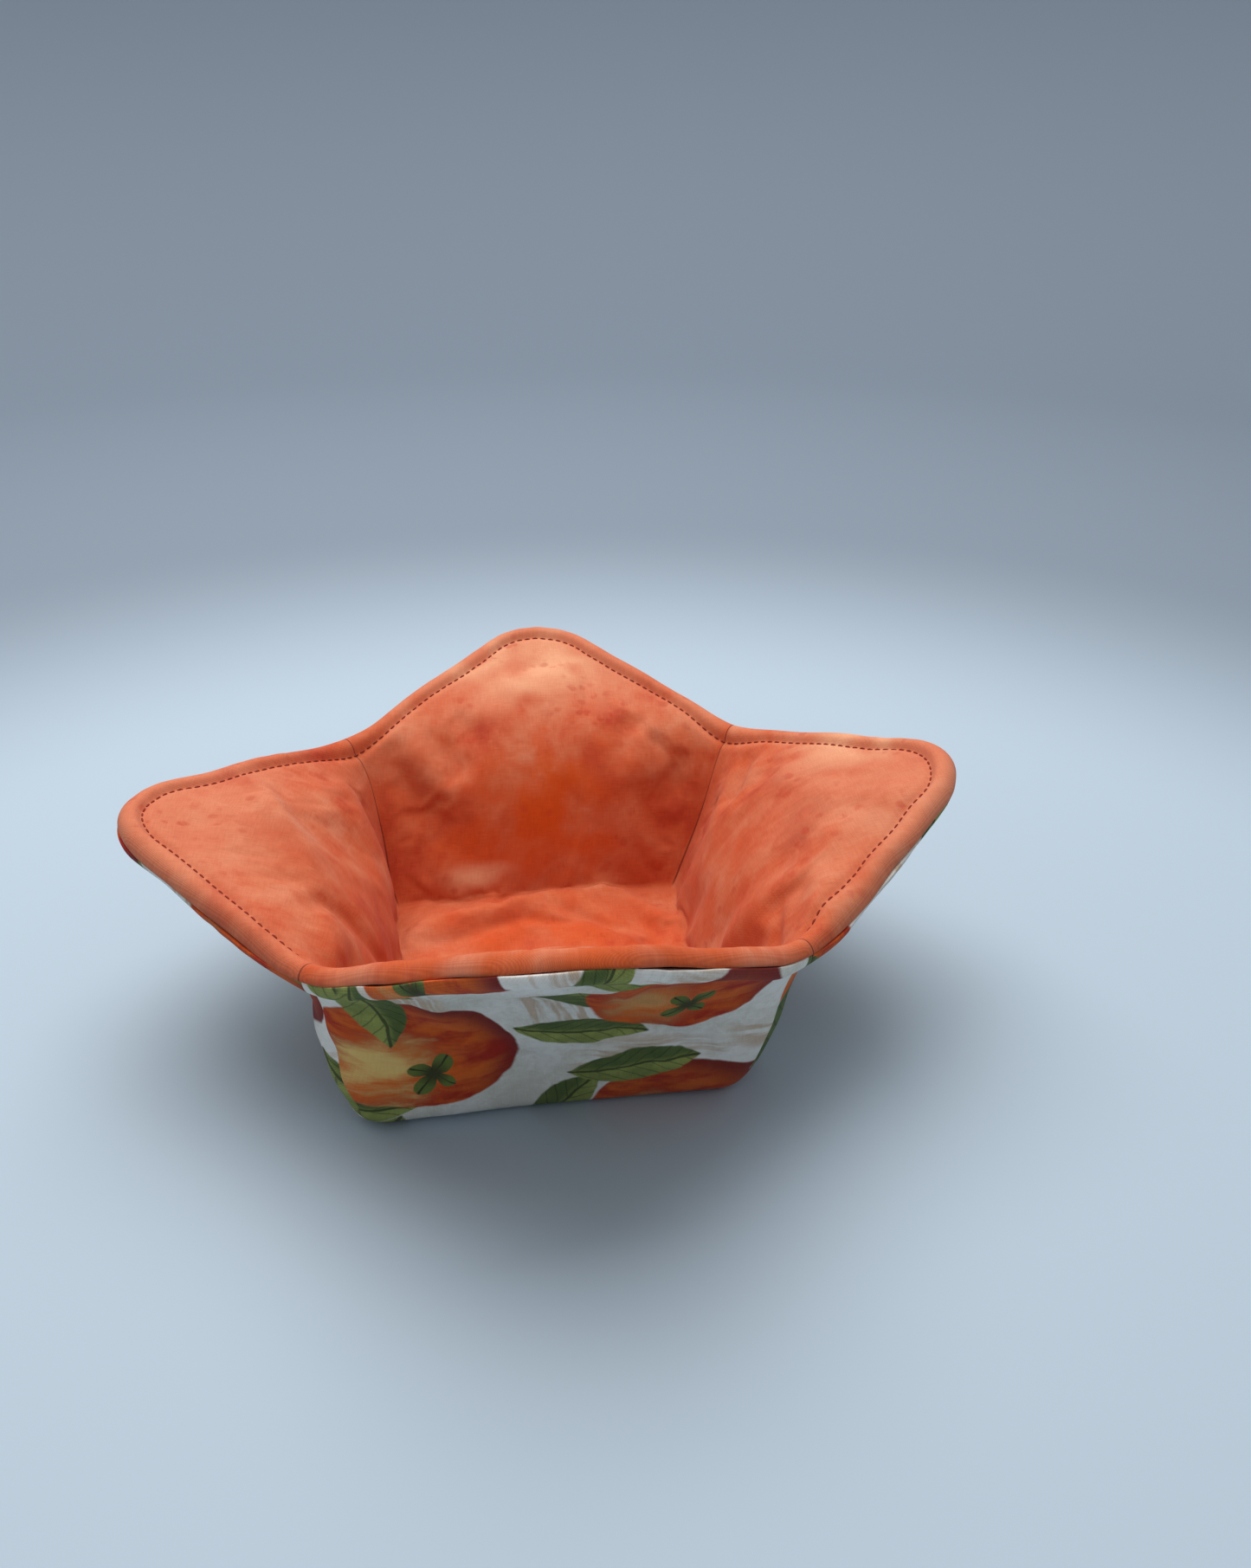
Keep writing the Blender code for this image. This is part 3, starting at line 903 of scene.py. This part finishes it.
# Paler cloth and painted light: peach on the tips of the flaps, which face the sky.
PEACH_AND_PAINTED_LIGHT = (0.78, 0.38, 0.21)
PAINTED_LIGHT_AND_CLOTH_PATCHES = [
    # A deeper orange on the front flap, then painted shade, painted light and the cloth's own brick.
    ((0, -125), (80, 52), (0.56, 0.080, 0.012), 0.95),
    ((-4, 122), (30, 20), PEACH_AND_PAINTED_LIGHT, 0.8),
    ((4, 72), (28, 20), PAINTED_DEEP_SHADE, 0.95),
    ((-24, 64), (12, 6), PAINTED_DEEP_SHADE, 0.5),
    ((-18, 54), (11, 4.5), PEACH_AND_PAINTED_LIGHT, 0.8),
    ((-60, -18), (14, 20), PAINTED_DEEP_SHADE, 0.35),
    ((-66, 20), (20, 26), PAINTED_DEEP_SHADE, 0.35),
    # Painted shade, partly the cloth's own: darker orange on the inner half of the left flap.
    ((-104, 4), (15, 26), (0.47, 0.105, 0.045), 0.55),
    ((-62, 42), (5, 9), BRICK, 0.6),
    ((-76, 46), (10, 6), BRICK, 0.4),
    ((124, 24), (24, 16), PEACH_AND_PAINTED_LIGHT, 0.8),
    # Painted shade, partly the cloth's own: darker orange on the inner half of the right flap.
    ((108, -4), (17, 28), (0.48, 0.12, 0.055), 0.55),
    ((70, 0), (16, 24), PAINTED_DEEP_SHADE, 0.35),
    ((0, 0), (44, 40), PAINTED_DEEP_SHADE, 0.6),
    ((-26, 14), (9, 14), BRICK, 0.25),
    ((28, -12), (12, 9), BRICK, 0.25),
]
SPECKLED = [((-126, -8), (17, 20)), ((18, 100), (22, 12)), ((-72, 40), (14, 14)),
            ((104, -20), (16, 14)), ((-14, -116), (20, 16)), ((20, 8), (16, 12))]
# Painted light: a lighter orange on the outer parts of the flaps, which face the sky.
PAINTED_FLAP_LIGHT = (0.67, 0.245, 0.135)
# Painted shade in the groove of the dart seams.
SEAM_PAINTED_SHADE = (0.15, 0.014, 0.005)
SPECK_SPACING = 4.2
print(len(PAINTED_LIGHT_AND_CLOTH_PATCHES), "patches and", len(SPECKLED), "clusters of specks")

# %% Mottled cotton


def mottled_cotton():
    """The finish of the lining."""
    finish = Finish("mottled_cotton", Roughness=0.85, Specular_IOR_Level=0.2, Sheen_Weight=0.05)
    flat = finish.vector("MULTIPLY", finish.pattern(), (PER_MM, PER_MM, 0.0))
    place = wobbled(finish, flat, 16.0, 10.0)
    soft_place = wobbled(finish, flat, 22.0, 7.0, 1.0)
    wide = finish.noise(place, 42.0, 3.0, 0.55)
    patch = finish.noise(place, 13.0, 4.0, 0.6)
    colour = finish.node("ShaderNodeValToRGB", {"stops": MOTTLE}, {0: wide * 0.55 + patch * 0.45})
    # Painted light: the outer parts of the cloth, the flaps, are made a lighter orange.
    x, y = finish.parts(soft_place)
    out = x.math("ABSOLUTE").math("MAXIMUM", y.math("ABSOLUTE"))
    lit_flaps = finish.step(out + (patch - 0.5) * 90.0, 74.0, 128.0)
    colour = finish.mix(lit_flaps * 0.5, colour, PAINTED_FLAP_LIGHT)

    def near(middle, radii):
        """1 in the middle of an oval on the cloth, and softly 0 outside it."""
        away = finish.vector("SUBTRACT", soft_place, (*middle, 0.0))
        away = finish.vector("DIVIDE", away, (*radii, 1.0))
        return 1.0 - finish.step(finish.length(away) + (patch - 0.5) * 1.2, 0.15, 1.3)

    # Soft patches of painted shade and painted light, and of the cloth's own colour.
    for middle, radii, tint, amount in PAINTED_LIGHT_AND_CLOTH_PATCHES:
        colour = finish.mix(near(middle, radii) * amount, colour, tint)
    scattered = {"Vector": wobbled(finish, flat, 3.0, 1.2), "Scale": 1 / SPECK_SPACING}
    specks = finish.node("ShaderNodeTexVoronoi", {}, scattered)
    chance = finish.noise(flat, 19.0, 1.0)
    crowd = finish.step(chance, 0.50, 0.62) * 0.6
    for middle, radii in SPECKLED:
        crowd = crowd.math("MAXIMUM", near(middle, radii))
    fading = finish.step(finish.noise(flat, 5.0, 2.0), 0.38, 0.55)
    dots = (1.0 - finish.step(specks, 0.20, 0.42)) * crowd * fading
    colour = finish.mix(dots * 0.6, colour, BRICK)
    # Painted shade: a thin dark line in the groove along each dart seam, where two edges meet.
    x, y = finish.parts(flat)
    x, y = x.math("ABSOLUTE"), y.math("ABSOLUTE")
    out, along = x.math("MAXIMUM", y), x.math("MINIMUM", y)
    root = FLOOR_HALF * (1 - SPREAD) - CORE_DEPTH * RISE + SEAM_GAP / 2
    seam = along - (out * SPREAD + PER_MM * root)
    line = 1.0 - finish.step(seam.math("ABSOLUTE"), 0.25, 0.9)
    line = line * finish.step(out, PER_MM * FLOOR_HALF, PER_MM * FLOOR_HALF + 6.0)
    colour = finish.mix(line * 0.85, colour, SEAM_PAINTED_SHADE)
    return woven(finish, colour, flat, LINING_PITCH, LINING_RELIEF)


lining.data.materials.append(mottled_cotton())
print("lining:", len(lining.data.materials[0].node_tree.nodes), "nodes")

# %% [markdown]
# ## The printed cover
# The cover is cream cotton with a painted print. This one is a plain half-drop repeat, the
# layout that most printed cloth has: the motifs stand in columns, and every second column is
# shifted down by half. The motifs are round fruit with a four-lobed cap, pointed leaves and
# loose brush strokes. Each is a distance from a place in its cell, with edges that wobble.

# %% The half-drop repeat
CELL_WIDE, CELL_HIGH = 62.0, 58.0


def cell_place(finish, x, y, shift, seed, jitter):
    """Place inside the nearest cell of the repeat, in millimetres, and the cell's chances."""
    x, y = x + shift[0], y + shift[1]
    column = (x / CELL_WIDE).math("FLOOR")
    y = y + column.math("FLOORED_MODULO", 2.0) * (CELL_HIGH / 2)
    row = (y / CELL_HIGH).math("FLOOR")
    chance = finish.node("ShaderNodeTexWhiteNoise", {}, {"Vector": finish.join(column, row, seed)}, 1)
    one, two, three = finish.split(chance)
    across = x - (column + 0.5) * CELL_WIDE + (one - 0.5) * jitter
    up = y - (row + 0.5) * CELL_HIGH + (two - 0.5) * jitter
    return across, up, one, two, three


def rotated(across, up, angle):
    """A place turned by an angle that varies from cell to cell."""
    cosine, sine = angle.math("COSINE"), angle.math("SINE")
    return across * cosine + up * sine, up * cosine - across * sine


print("the print repeats every", 2 * CELL_WIDE, "mm across and", CELL_HIGH, "mm up")

# %% Brush strokes
STROKE_LONG, STROKE_WIDE = 25.0, 11.0
print("strokes about", 2 * STROKE_LONG, "mm long")


def strokes(finish, colour, x, y, shift, seed):
    """Loose tan brush strokes."""
    across, up, _, _, three = cell_place(finish, x, y, shift, seed, 8.0)
    along, over = rotated(across, up, three * 1.4 + 0.1)
    body = finish.length(finish.join(along / STROKE_LONG, over / STROKE_WIDE, 0.0))
    bristles = finish.noise(finish.join(along / 26.0, over / 3.4, seed), 1.0, 2.0)
    mask = (1.0 - finish.step(body, 0.55, 1.0)) * finish.step(bristles, 0.44, 0.56)
    tan = finish.mix(bristles, (0.30, 0.17, 0.09), (0.72, 0.50, 0.32))
    return finish.mix(mask * 0.75, colour, tan)


# %% Leaves
LEAF_HALF, LEAF_WIDE = 17.0, 7.0
print("leaves", 2 * LEAF_HALF, "mm long")


def leaf(finish, colour, x, y, shift, seed, turn):
    """A pointed leaf with a rib and side veins, one half darker."""
    across, up, _, _, three = cell_place(finish, x, y, shift, seed, 9.0)
    along, over = rotated(across, up, three * 2.2 + turn)
    over = over + (along * 0.11).math("SINE") * 1.6
    share = along / LEAF_HALF
    side = over.math("ABSOLUTE")
    outline = (1.0 - share * share) * LEAF_WIDE - side
    mask = finish.step(outline, -0.2, 0.5) * (1.0 - finish.step(share.math("ABSOLUTE"), 0.97, 1.0))
    wash = finish.noise(finish.join(along, over, seed), 7.0, 3.0)
    paint = finish.mix(wash, (0.055, 0.10, 0.02), (0.48, 0.50, 0.13))
    paint = finish.mix(finish.step(over, -0.5, 2.0) * 0.7, paint, (0.035, 0.075, 0.022))
    veins = finish.step(((along + side * 1.3) * 1.35).math("SINE"), 0.86, 0.98)
    rib = 1.0 - finish.step(side, 0.25, 0.6)
    lines = (veins * 0.6).math("MAXIMUM", rib)
    paint = finish.mix(lines * 0.8, paint, (0.02, 0.028, 0.012))
    return finish.mix(mask, colour, paint)


# %% Fruit
FRUIT_RADIUS = 23.0
CAP_RADIUS = 8.0
print("fruit about", 2 * FRUIT_RADIUS, "mm across")


def fruit(finish, colour, x, y, shift, seed):
    """A round fruit: red to orange, a yellow light side, a dark rim and a four-lobed cap."""
    across, up, one, two, three = cell_place(finish, x, y, shift, seed, 5.0)
    size = FRUIT_RADIUS * (0.92 + one * 0.14)
    away = finish.length(finish.join(across, up * 1.1, 0.0)) / size
    mask = 1.0 - finish.step(away, 0.975, 1.015)
    drawn_out = finish.join(across * 0.5, up * 1.2 + across * across * 0.012, seed)
    wash = finish.noise(drawn_out, 8.0, 4.0, 0.62)
    paint = finish.mix(finish.step(wash, 0.36, 0.64), (0.40, 0.02, 0.008), (0.70, 0.125, 0.014))
    light = finish.length(finish.join(across + 8.0, up - 7.0, 0.0)) / size
    light = (1.0 - finish.step(light + (wash - 0.5) * 1.6, 0.05, 0.60)) * (0.4 + two * 0.5)
    paint = finish.mix(light, paint, (0.86, 0.60, 0.20))
    shade = finish.length(finish.join(across + 5.0, up - 5.0, 0.0)) / size
    dark = finish.step(shade + (wash - 0.5) * 0.5, 0.82, 1.25) * 0.9
    paint = finish.mix(dark, paint, (0.16, 0.01, 0.012))
    along, over = rotated(across - 2.0, up - 9.0, three * 6.28)
    cap_away = finish.length(finish.join(along, over * 1.25, 0.0))
    turn = over.math("ARCTAN2", along)
    lobes = (turn * 2.0).math("COSINE").math("ABSOLUTE")
    edge = (lobes * 0.7 + 0.3) * CAP_RADIUS - cap_away
    cap = finish.mix(finish.step(cap_away, 1.0, 6.0), (0.05, 0.05, 0.015), (0.13, 0.17, 0.035))
    ribs = 1.0 - finish.step((turn * 4.0).math("SINE").math("ABSOLUTE"), 0.05, 0.30)
    cap = finish.mix(ribs, cap, (0.03, 0.035, 0.01))
    paint = finish.mix(finish.step(edge, -0.15, 0.45), paint, cap)
    return finish.mix(mask, colour, paint)


# %% Printed cotton


def printed_cotton():
    """The finish of the cover."""
    finish = Finish("printed_cotton", Roughness=0.85, Specular_IOR_Level=0.25, Sheen_Weight=0.05)
    flat = finish.vector("MULTIPLY", finish.pattern(), (PER_MM, PER_MM, 0.0))
    x, y = finish.parts(wobbled(finish, flat, 5.0, 1.5))
    fine = finish.noise(wobbled(finish, flat, 3.0, 4.0), 2.6, 4.0, 0.7)
    linen = finish.noise(flat, 22.0, 2.0) * 0.6 + fine * 0.4
    colour = finish.mix(finish.step(linen, 0.38, 0.60), (0.68, 0.64, 0.55), (0.85, 0.82, 0.76))
    colour = strokes(finish, colour, x, y, (34.0, 6.0), 3.0)
    colour = strokes(finish, colour, x, y, (8.0, 33.0), 4.0)
    colour = leaf(finish, colour, x, y, (31.0, 14.0), 5.0, 0.3)
    colour = leaf(finish, colour, x, y, (22.0, 47.0), 6.0, 1.9)
    colour = fruit(finish, colour, x, y, (2.0, 12.0), 7.0)
    colour = leaf(finish, colour, x, y, (12.0, 32.0), 8.0, 2.9)
    return woven(finish, colour, flat, COVER_PITCH, COVER_RELIEF)


cover.data.materials.append(printed_cotton())
print("cover:", len(cover.data.materials[0].node_tree.nodes), "nodes")

# %% [markdown]
# ## Topstitching
# A row of stitches runs round the whole border and holds the four layers together. Each stitch
# is a short length of thread that dives into the cloth at both ends, so it is built as a small
# spindle, laid along the row and half sunk into the groove that it pulls. A dashed line in the
# colour would be less work, but it would look flat and cast no shadow.

# %% Lay the stitches
STITCH_LENGTH = 0.0026
STITCH_GAP = 0.0006
THREAD_RADIUS = 0.00024
SPINDLE = [(-1.0, 0.25), (-0.7, 0.9), (0.0, 1.1), (0.7, 0.9), (1.0, 0.25)]
SPINDLE_SIDES = 6


def thread_cotton():
    """The finish of the sewing thread, light and dark where it is twisted."""
    finish = Finish("thread_cotton", Roughness=0.8, Specular_IOR_Level=0.1)
    place = finish.node("ShaderNodeTexCoord", {}, {}, 3)
    twist = finish.noise(finish.vector("MULTIPLY", place, (PER_MM, PER_MM, PER_MM)), 0.5, 2.0)
    colour = finish.mix(twist, (0.20, 0.022, 0.012), (0.34, 0.055, 0.03))
    finish.feed(finish.shader.inputs["Base Color"], colour)
    return finish.material


def stitches(name, cloth, seam_line):
    """A ring of stitches along a row of points, lying on the cloth."""
    surface = BVHTree.FromObject(cloth, bpy.context.evaluated_depsgraph_get())
    line = np.vstack([seam_line, seam_line[:1]])
    place = np.concatenate([[0.0], np.cumsum(np.linalg.norm(np.diff(line, axis=0), axis=1))])
    count = round(place[-1] / STITCH_LENGTH)
    pitch = place[-1] / count
    points, faces = [], []
    for number in range(count):
        middle = (number + 0.5) * pitch
        half = (pitch - STITCH_GAP) / 2
        first_ring = len(points)
        for share, swell in SPINDLE:
            at = [np.interp(middle + share * half, place, line[:, axis]) for axis in range(3)]
            ahead = [np.interp(middle + share * half + 1e-4, place, line[:, axis]) for axis in range(3)]
            spot, normal, _, _ = surface.find_nearest(Vector(at))
            forward = (Vector(ahead) - Vector(at)).normalized()
            sideways = forward.cross(normal).normalized()
            centre = spot + normal * THREAD_RADIUS * (0.75 - 1.3 * abs(share) ** 3)
            for corner in range(SPINDLE_SIDES):
                angle = 2 * math.pi * corner / SPINDLE_SIDES
                radius = THREAD_RADIUS * swell
                points.append(centre + radius * (math.cos(angle) * sideways + math.sin(angle) * normal))
        for ring in range(len(SPINDLE) - 1):
            low = first_ring + ring * SPINDLE_SIDES
            for corner in range(SPINDLE_SIDES):
                here, after = low + corner, low + (corner + 1) % SPINDLE_SIDES
                faces.append((here, after, after + SPINDLE_SIDES, here + SPINDLE_SIDES))
        faces.append(tuple(first_ring + corner for corner in reversed(range(SPINDLE_SIDES))))
        last = first_ring + (len(SPINDLE) - 1) * SPINDLE_SIDES
        faces.append(tuple(last + corner for corner in range(SPINDLE_SIDES)))
    mesh = bpy.data.meshes.new(name)
    mesh.from_pydata(points, [], faces)
    mesh.shade_smooth()
    print(name, count, "stitches of", round(1000 * pitch, 2), "mm")
    return placed(name, mesh)


thread = thread_cotton()
for name, cloth, seam_line in (("lining_topstitching", lining, lining_seam),
                               ("cover_topstitching", cover, cover_seam)):
    row = stitches(name, cloth, seam_line)
    row.data.materials.append(thread)
    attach(row, "root")

# %% [markdown]
# ## In the place of the solids
# Each cloth stands for two solids of the CAD part: the fabric, and the wadding behind it, which
# can't be seen. It rides on the part's one body, and both solids are hidden. It is a closed soft
# body and not a bare sheet.

# %% Hand both cloths to the frame
for cloth, nodes, slot in ((lining, ("lining", "lining_batting"), "mottled_cotton"),
                           (cover, ("outer_cover", "outer_batting"), "printed_cotton")):
    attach(cloth, "root")
    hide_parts(*nodes)
    print(cloth.name, "takes the place of", " and ".join(nodes))

# %% [markdown]
# ## Floor and backdrop
# A plain pale floor that curves up into a round wall, so that no edge shows behind the cozy from
# any side, as it would behind a flat sheet of paper. It is a profile turned about the middle, and
# it grows darker away from the cozy.

# %% Build the round sweep
FLAT_RADIUS, SWEEP_RISE, SWEEP_TOP = 0.75, 0.30, 0.55
SWEEP_STEPS, SWEEP_TURNS = 12, 72
PAPER_MIDDLE = (0.0, -0.08, 0.0)
PAPER_LIGHT, PAPER_DARK = (0.42, 0.505, 0.58), (0.205, 0.248, 0.302)


def sweep():
    """A round floor whose rim curves up."""
    profile = [(0.0, 0.0), (FLAT_RADIUS, 0.0)]
    for step in range(1, SWEEP_STEPS + 1):
        angle = math.pi / 2 * step / SWEEP_STEPS
        out = FLAT_RADIUS + SWEEP_RISE * math.sin(angle)
        profile.append((out, SWEEP_RISE * (1.0 - math.cos(angle))))
    profile.append((FLAT_RADIUS + SWEEP_RISE, SWEEP_TOP))
    body = bmesh.new()
    points = [body.verts.new((radius, 0.0, height)) for radius, height in profile]
    edges = [body.edges.new(pair) for pair in zip(points, points[1:])]
    bmesh.ops.spin(body, geom=points + edges, axis=(0, 0, 1), cent=(0, 0, 0), angle=2 * math.pi,
                   steps=SWEEP_TURNS, use_merge=True)
    bmesh.ops.remove_doubles(body, verts=body.verts, dist=1e-6)
    mesh = bpy.data.meshes.new("sweep")
    body.to_mesh(mesh)
    body.free()
    mesh.shade_smooth()
    finish = Finish("pale_paper", Roughness=0.7)
    place = finish.node("ShaderNodeTexCoord", {}, {}, 3)
    away = finish.length(finish.vector("SUBTRACT", place, PAPER_MIDDLE))
    colour = finish.mix(finish.step(away, 0.27, 0.50), PAPER_LIGHT, PAPER_DARK)
    finish.feed(finish.shader.inputs["Base Color"], colour)
    mesh.materials.append(finish.material)
    placed("sweep", mesh)
    print("sweep", len(mesh.polygons), "faces")


sweep()

# %% [markdown]
# ## Light and camera
# One wide soft lamp above and a little behind the cozy, and a pale sky all round. A small lamp
# would cast hard shadows, which a room with a big window doesn't. What the camera sees of the
# sky is set apart from the light that it gives, so that the backdrop keeps its colour from
# every side.

# %% The lamp
WINDOW_SIZE, WINDOW_POWER = 1.0, 11.7
WINDOW_PLACE = Vector((-0.06, 0.34, 0.95))


def aimed(name, data, place, target):
    """A lamp or a camera at a place, pointed at a target."""
    thing = placed(name, data)
    thing.location = place
    thing.rotation_mode = "QUATERNION"
    thing.rotation_quaternion = (target - place).to_track_quat("-Z", "Y")
    return thing


lamp = bpy.data.lights.new("window", "AREA")
lamp.size, lamp.energy = WINDOW_SIZE, WINDOW_POWER
aimed("window", lamp, WINDOW_PLACE, Vector((0.0, 0.0, 0.0)))
print("lamp of", WINDOW_POWER, "W,", round(WINDOW_PLACE.length, 2), "m away")

# %% The sky, as light and as the camera sees it
SKY_LIGHT, SKY_STRENGTH = (0.95, 0.97, 1.0), 0.51
SKY_SEEN = (0.25, 0.30, 0.36)
world = bpy.data.worlds.new("sky")
world.use_nodes = True
tree = world.node_tree
light_sky = tree.nodes["Background"]
light_sky.inputs[0].default_value = (*SKY_LIGHT, 1.0)
light_sky.inputs[1].default_value = SKY_STRENGTH
seen_sky = tree.nodes.new("ShaderNodeBackground")
seen_sky.inputs[0].default_value = (*SKY_SEEN, 1.0)
ray = tree.nodes.new("ShaderNodeLightPath")
blend = tree.nodes.new("ShaderNodeMixShader")
tree.links.new(ray.outputs["Is Camera Ray"], blend.inputs[0])
tree.links.new(light_sky.outputs[0], blend.inputs[1])
tree.links.new(seen_sky.outputs[0], blend.inputs[2])
tree.links.new(blend.outputs[0], tree.nodes["World Output"].inputs[0])
bpy.context.scene.world = world
bpy.context.scene.view_settings.view_transform = "Standard"
print("sky of strength", SKY_STRENGTH)

# %% The camera
PHOTO_HEIGHT = 1811
FOCAL_PIXELS = 1700.0
CAMERA_PLACE = Vector((-0.0234, -0.3375, 0.2556))
LOOK_AT = Vector((0.0399, 0.1233, 0.0))
camera_data = bpy.data.cameras.new("camera")
camera_data.sensor_fit = "VERTICAL"
camera_data.sensor_height = 36.0
camera_data.lens = FOCAL_PIXELS / PHOTO_HEIGHT * camera_data.sensor_height
camera_data.clip_start = 0.01
bpy.context.scene.camera = aimed("camera", camera_data, CAMERA_PLACE, LOOK_AT)
print("camera", round(1000 * CAMERA_PLACE.length), "mm from the middle of the floor")
